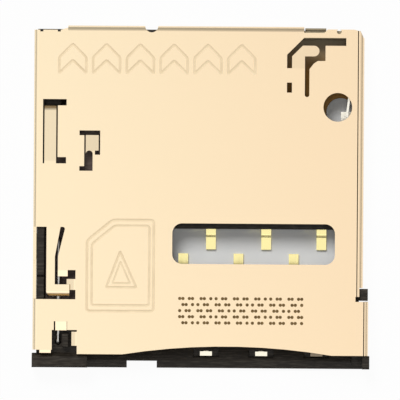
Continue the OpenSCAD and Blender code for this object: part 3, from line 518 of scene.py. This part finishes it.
# %% [markdown]
# The helix and the ring around it are whole arrays too: a row for each step along the wire, and a
# column for each side of its section.

# %% Wind the spring
WIRE_STEPS = 481
WIRE_SIDES = 12


def unit(vectors):
    """The same directions, each with length 1."""
    return vectors / np.linalg.norm(vectors, axis=-1, keepdims=True)


def coil(low, high, turns, wire):
    """Points of a wound wire: centre on a helix about Y, ring of the wire's radius around it.

    The helix turns evenly and rises as `advance` says. The ring is spanned by the helix's radius and by
    the cross product of direction and radius.
    """
    turn = np.linspace(0, turns, WIRE_STEPS)
    radius = (high[0] - low[0] - wire) / 2
    angle = 2 * np.pi * turn
    out = np.stack([np.cos(angle), np.zeros(WIRE_STEPS), np.sin(angle)], axis=-1)
    middle = (low + high) / 2
    centre = out * radius + np.array([middle[0], low[1] + wire / 2, middle[2]])
    centre[:, 1] += advance(turn, wire, high[1] - low[1] - wire)
    side = np.cross(unit(np.gradient(centre, axis=0)), out)
    around = np.linspace(0, 2 * np.pi, WIRE_SIDES, endpoint=False)[None, :, None]
    return centre[:, None] + wire / 2 * (np.cos(around) * out[:, None] + np.sin(around) * side[:, None])


wound = coil(spring_low, spring_high, TURNS, WIRE)
spring = grid_piece("wound_spring", wound * MM, spring_wire, closed_rows=False)

# %% [markdown]
# The drawn lines need a UV map that runs along the wire. Each point's place in the grid is its place on
# the map, so the map is read from the same numbering as the faces.

# %% Lay the spring's map along the wire
loops = np.zeros(len(spring.data.loops), int)
spring.data.loops.foreach_get("vertex_index", loops)
across = (loops % WIRE_SIDES) / WIRE_SIDES
along = loops // WIRE_SIDES / WIRE_STEPS * TURNS
wire_map = np.stack([across, along], axis=-1)
spring.data.uv_layers.new(name="wire").data.foreach_set("uv", wire_map.ravel())
print("map reaches", np.round(wire_map.max(axis=0), 2).tolist())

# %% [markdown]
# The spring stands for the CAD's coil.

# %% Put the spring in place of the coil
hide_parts("return_spring")
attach(spring, "socket")
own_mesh(spring)

# %% [markdown]
# ## Marks pressed into the cover
# A press punch has left fine raised lines on the cover: the outline of a card with its cut corner,
# which shows how the card goes in. Such a line could be a bump in the sheet's finish, but a bump has no
# outline of its own from the side, so it is a real bead here: a low soft wave carried along a path. The
# lines are painted a darker tan than the plate, a painted shade for the shading along their sides, and
# they are a little rougher.

# %% Finish for the pressed lines
stamped_line, tree, shader = start_finish("stamped_line", metallic=1.0, roughness=0.36)
# Painted shade: the lines are painted darker than the plate.
painted_line_shade = noise_in_mm(tree, size=0.5)
tint(tree, painted_line_shade, screen(232, 210, 173), screen(243, 221, 184), shader.inputs["Base Color"])
relief(tree, noise_in_mm(tree, size=0.05), shader, depth=0.0008)
print("pressed lines:", len(tree.nodes), "nodes")

# %% [markdown]
# A punch can't be cut with perfectly sharp corners, so each outline gets soft ones first. The bead then
# follows the softened outline.

# %% Soften an outline
BEND_STEPS = 5


def soft_outline(corners, radius):
    """Rounds each corner of a closed outline.

    Each bend is a parabola from a point `radius` mm before the corner to one as far after it, with the
    corner as its pole.
    """
    corners = np.array(corners, float)
    back = unit(np.roll(corners, 1, axis=0) - corners)
    ahead = unit(np.roll(corners, -1, axis=0) - corners)
    t = np.linspace(0, 1, BEND_STEPS)[None, :, None]
    bend = radius * ((1 - t) ** 2 * back[:, None] + t ** 2 * ahead[:, None])
    return (corners[:, None] + bend).reshape(-1, 2)


# %% [markdown]
# The bead's section is one wave of a cosine, so that its sides run out softly into the plate. It is a
# closed section: its foot lies a share FOOT of its height below, and all of it is let into the sheet by
# a share LET_IN.

# %% Carry a bead along an outline
WAVE_POINTS = 9
FOOT = 0.25
LET_IN = 0.125


def bead(name, outline, width, height):
    """A low wave along a closed path, anticlockwise.

    At each path point the section spreads along the bisector of the two neighbouring edges, lengthened
    so that the bead keeps its width round the corner.
    """
    before = unit(outline - np.roll(outline, 1, axis=0))
    after = unit(np.roll(outline, -1, axis=0) - outline)
    normal = unit(np.stack([before[:, 1] + after[:, 1], -before[:, 0] - after[:, 0]], axis=-1))
    normal /= normal[:, :1] * after[:, 1:] - normal[:, 1:] * after[:, :1]
    wave = np.linspace(np.pi, -np.pi, WAVE_POINTS)
    spread = np.append(wave / np.pi, 0.0) * width / 2
    lift = np.append((1 + np.cos(wave)) / 2, -FOOT) * height - LET_IN * height
    points = np.zeros((len(outline), len(spread), 3))
    points[:, :, :2] = outline[:, None] + normal[:, None] * spread[None, :, None]
    points[:, :, 2] = COVER_TOP / MM + lift
    piece = grid_piece(name, points * MM, stamped_line, closed_rows=True)
    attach(piece, "socket")


# %% [markdown]
# The card mark is two outlines, one about a quarter of a millimetre inside the other, with a plain
# arrow head in the middle that points the way in. The arrow head is drawn as two outlines as well. Each
# row gives the bead's corners, the bend at a corner, the width and the height, all in mm.

# %% Press the card mark
outer_card = [(-5.24, -5.25), (-2.18, -5.25), (-2.18, -1.07), (-4.08, -1.07), (-5.24, -2.02)]
inner_card = [(-5.02, -4.98), (-2.38, -4.98), (-2.38, -1.33), (-3.98, -1.33), (-5.02, -2.18)]
arrow = [(-4.35, -4.155), (-2.97, -4.155), (-3.72, -2.51)]
arrow_heart = [(-4.06, -3.97), (-3.26, -3.97), (-3.7, -2.98)]
card_mark = {
    "card_mark_outer": (outer_card, 0.16, 0.16, 0.005),
    "card_mark_inner": (inner_card, 0.14, 0.14, 0.004),
    "card_mark_arrow": (arrow, 0.06, 0.14, 0.004),
    "card_mark_heart": (arrow_heart, 0.05, 0.11, 0.003),
}
for name, (corners, radius, width, height) in card_mark.items():
    bead(name, soft_outline(corners, radius), width, height)

# %% [markdown]
# Along the rear edge a row of plain outlined chevrons repeats the same direction. One chevron is drawn
# about its own middle, and the row is that one moved along in equal steps.

# %% Press the row of chevrons
HALF = 0.62
LEG = 0.72
NOTCH = 0.12
ROW_Y = 6.38
FIRST_X, LAST_X, CHEVRONS = -5.95, 1.8, 6

chevron = np.array([(-HALF, -LEG), (0, -NOTCH), (HALF, -LEG), (HALF, 0), (0, HALF), (-HALF, 0)])
for count, middle in enumerate(np.linspace(FIRST_X, LAST_X, CHEVRONS)):
    outline = soft_outline(chevron + [middle, ROW_Y], radius=0.08)
    bead(f"chevron_{count + 1}", outline, width=0.15, height=0.005)

# %% [markdown]
# ## The dotted mark
# A marking pin has left a band of small dark dots near the mouth, in a plain hatch. Each stroke burns
# the gilding brown, unevenly, so the dots' colour comes from a noise about as large as they are.

# %% Finish for the dots
burnt_dot, tree, shader = start_finish("burnt_dot", metallic=0.4, roughness=0.5)
burn = noise_in_mm(tree, size=0.1)
tint(tree, burn, screen(96, 74, 38), screen(140, 112, 66), shader.inputs["Base Color"])
relief(tree, noise_in_mm(tree, size=0.03), shader, depth=0.001)
print("dots' finish:", len(tree.nodes), "nodes")

# %% [markdown]
# The band is made of equal blocks of rows and columns, and the hatch leaves out every third dot along a
# slant. The numbers of block, row and column are three whole arrays, so a dot's place is one line of
# arithmetic, in mm.

# %% Place the dots
BLOCKS, ROWS, COLS = 7, 5, 5
BAND_LEFT, BAND_FRONT = -0.97, -5.76
BLOCK_PITCH, ROW_PITCH, COL_PITCH = 0.835, 0.278, 0.147

block, row, col = (part.ravel() for part in np.indices((BLOCKS, ROWS, COLS)))
kept = (row + col + 2 * block) % 3 != 0
dot_x = BAND_LEFT + block * BLOCK_PITCH + col * COL_PITCH
dot_y = BAND_FRONT + row * ROW_PITCH
centres = np.stack([dot_x, dot_y, np.full(dot_x.shape, COVER_TOP / MM)], axis=-1)[kept]
print("dots:", len(centres))

# %% [markdown]
# The dots are many, so one low eight-sided button is worked out once, as three rings. A single addition
# of two arrays, centres and button, gives the points of all of them, and another one, of first numbers
# and one button's faces, gives all faces. DOT_RINGS holds each ring's radius and height in mm.

# %% Dot the band
DOT_SIDES = 8
DOT_RINGS = np.array([[0.078, -0.003], [0.078, 0.004], [0.05, 0.007]])

angles = np.linspace(0, 2 * np.pi, DOT_SIDES, endpoint=False)
ring = np.stack([np.cos(angles), np.sin(angles), np.zeros(DOT_SIDES)], axis=-1)
button = ring[None] * DOT_RINGS[:, :1, None] + DOT_RINGS[:, 1:, None] * [0, 0, 1]
dots = (centres[:, None] + button.reshape(1, -1, 3)) * MM

corner = np.arange(DOT_SIDES)
following = (corner + 1) % DOT_SIDES
wall = np.stack([corner, following, following + DOT_SIDES, corner + DOT_SIDES], axis=-1)
first = np.arange(len(centres))[:, None] * button.shape[0] * DOT_SIDES
walls = first[:, None] + np.concatenate([wall, wall + DOT_SIDES])
bottoms = first + corner[::-1]
tops = first + 2 * DOT_SIDES + corner
mesh = bpy.data.meshes.new("dotted_mark")
faces = walls.reshape(-1, 4).tolist() + bottoms.tolist() + tops.tolist()
mesh.from_pydata(dots.reshape(-1, 3).tolist(), [], faces)
dotted = finished_piece("dotted_mark", mesh, burnt_dot)
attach(dotted, "socket")

# %% [markdown]
# ## Floor and board
# The photograph is a cut-out on white: round the part nothing is left of the table but white, while the
# board seen through the window is shaded. So there are two flat pieces. A small pale board, no larger
# than the part, lies under it and is lit like anything else.

# %% Lay the board
def flat_sheet(name, half_x, half_y, level, finish):
    """A level rectangle of four faces, `level` mm below the feet.

    It reaches half_x and half_y mm to each side of the middle, with three points along each side.
    """
    x, y = np.meshgrid(np.linspace(-half_x, half_x, 3), np.linspace(-half_y, half_y, 3))
    corners = np.stack([x, y, np.full(x.shape, cad_box[0][2] / MM - level)], axis=-1) * MM
    number = np.arange(x.size).reshape(x.shape)
    tiles = np.stack([number[:-1, :-1], number[:-1, 1:], number[1:, 1:], number[1:, :-1]], axis=-1)
    mesh = bpy.data.meshes.new(name)
    mesh.from_pydata(corners.reshape(-1, 3).tolist(), [], tiles.reshape(-1, 4).tolist())
    finished_piece(name, mesh, finish)


board_finish, tree, shader = start_finish("board", metallic=0.0, roughness=0.9)
mottle = noise_in_mm(tree, size=3.0)
tint(tree, mottle, screen(242, 243, 242), screen(248, 249, 248), shader.inputs["Base Color"])
flat_sheet("board", half_x=7.1, half_y=7.4, level=0.01, finish=board_finish)

# %% [markdown]
# The wide floor round the board is mostly plain white to the camera and to reflections, and keeps a
# trace of the part's shadow. Its white is an emission of strength 1, which the Light Path node switches
# on for those rays only, so that it adds no light to the part.

# %% Tell rays that see from rays that light
def seen_directly(tree):
    """A number that is 1 for camera, mirror and see-through rays and 0 for rays that only carry light."""
    path = tree.nodes.new("ShaderNodeLightPath")
    mirrored = arithmetic(tree, "ADD", path.outputs["Is Camera Ray"], path.outputs["Is Glossy Ray"])
    seen = arithmetic(tree, "ADD", mirrored, path.outputs["Is Transmission Ray"])
    seen.node.use_clamp = True
    return seen


def choose(tree, share, low, high, output):
    """Mixes two shaders by a share into the tree's output."""
    mix = tree.nodes.new("ShaderNodeMixShader")
    tree.links.new(share, mix.inputs["Fac"])
    tree.links.new(low, mix.inputs[1])
    tree.links.new(high, mix.inputs[2])
    tree.links.new(mix.outputs[0], tree.nodes[output].inputs["Surface"])


# %% [markdown]
# The emission is mixed in by WHITE, and the rest is the lit floor with its shadow.

# %% Lay the floor
WHITE = 0.95
FLOOR_HALF = 400.0

floor_finish, tree, shader = start_finish("floor", metallic=0.0, roughness=0.9)
tint(tree, noise_in_mm(tree, size=40.0), grey(0.93), grey(0.95), shader.inputs["Base Color"])
glow = tree.nodes.new("ShaderNodeEmission")
white_share = arithmetic(tree, "MULTIPLY", seen_directly(tree), WHITE)
choose(tree, white_share, shader.outputs[0], glow.outputs[0], "Material Output")
flat_sheet("floor", FLOOR_HALF, FLOOR_HALF, level=0.02, finish=floor_finish)

# %% [markdown]
# ## Light
# A shiny cover shows the room it is in. Here that room is one soft sky, brightest overhead towards the
# front, bright to either side, and dimmer low down and at the rear. So a lip that is bent a little to
# the front flashes, a tongue that is bent down to the rear goes darker, and a steep face goes dark. A
# ray's brightness is a ramp over a sum: how far the ray points to the SOFTBOX, and how far to either
# side. SKY holds the ramp's places and levels.

# %% Shade the sky
SOFTBOX = (0.0, -0.4, 0.9)
TO_THE_SIDES = (0.27, 0.0, 0.0)
SKY = ((0.3, 0.43), (0.65, 0.55), (0.79, 0.78), (0.9, 0.96), (0.97, 1.25))


def dot_with(tree, vector, direction):
    """How far a vector points in a direction: their dot product."""
    dot = tree.nodes.new("ShaderNodeVectorMath")
    dot.operation = "DOT_PRODUCT"
    dot.inputs[1].default_value = direction
    tree.links.new(vector, dot.inputs[0])
    return dot.outputs["Value"]


def sky_colour(tree):
    """The sky's grey for a ray.

    It is a ramp over the ray's dot product with SOFTBOX plus that of its parts' sizes with TO_THE_SIDES.
    """
    ray = tree.nodes.new("ShaderNodeTexCoord").outputs["Generated"]
    either_side = tree.nodes.new("ShaderNodeVectorMath")
    either_side.operation = "ABSOLUTE"
    tree.links.new(ray, either_side.inputs[0])
    sideways = dot_with(tree, either_side.outputs["Vector"], TO_THE_SIDES)
    total = arithmetic(tree, "ADD", dot_with(tree, ray, SOFTBOX), sideways)
    return ramp(tree, total, [(place, grey(level)) for place, level in SKY])


# %% [markdown]
# Only the camera and reflections see that sky. As light on matt faces the world is even and weak, at
# the level SOFT, so that a matt colour renders about as it is written.

# %% Light the world
SOFT = 0.25

world = bpy.data.worlds.new("studio")
bpy.context.scene.world = world
world.use_nodes = True
tree = world.node_tree
soft = tree.nodes["Background"]
soft.inputs["Color"].default_value = grey(SOFT)
mirror = tree.nodes.new("ShaderNodeBackground")
tree.links.new(sky_colour(tree), mirror.inputs["Color"])
choose(tree, seen_directly(tree), soft.outputs[0], mirror.outputs[0], "World Output")
print("sky:", len(tree.nodes), "nodes")

# %% [markdown]
# A broad lamp from the rear left gives the openings their dark rear edges, and a weak one at the lens
# reaches the bottom of the holes. Both are kept out of reflections, where they would show as spots. The
# Standard view shows colours as they are worked out, with no film curve laid over them.

# %% Hang the lamps
def sun(name, towards, energy, spread):
    """A broad lamp at infinity, `spread` degrees wide; `towards` is the direction from the socket to it."""
    lamp = bpy.data.lights.new(name, "SUN")
    lamp.energy = energy
    lamp.angle = math.radians(spread)
    holder = bpy.data.objects.new(name, lamp)
    bpy.context.collection.objects.link(holder)
    x, y, z = towards
    holder.rotation_euler = (math.atan2(math.hypot(x, y), z), 0, math.atan2(y, x) + math.pi / 2)
    holder.visible_glossy = False
    print(name, "energy", energy, "spread", spread)


sun("key_from_rear", towards=(-0.25, 0.6, 0.9), energy=1.7, spread=25)
sun("lamp_at_lens", towards=(0.0, 0.0, 1.0), energy=0.25, spread=12)
bpy.context.scene.view_settings.view_transform = "Standard"
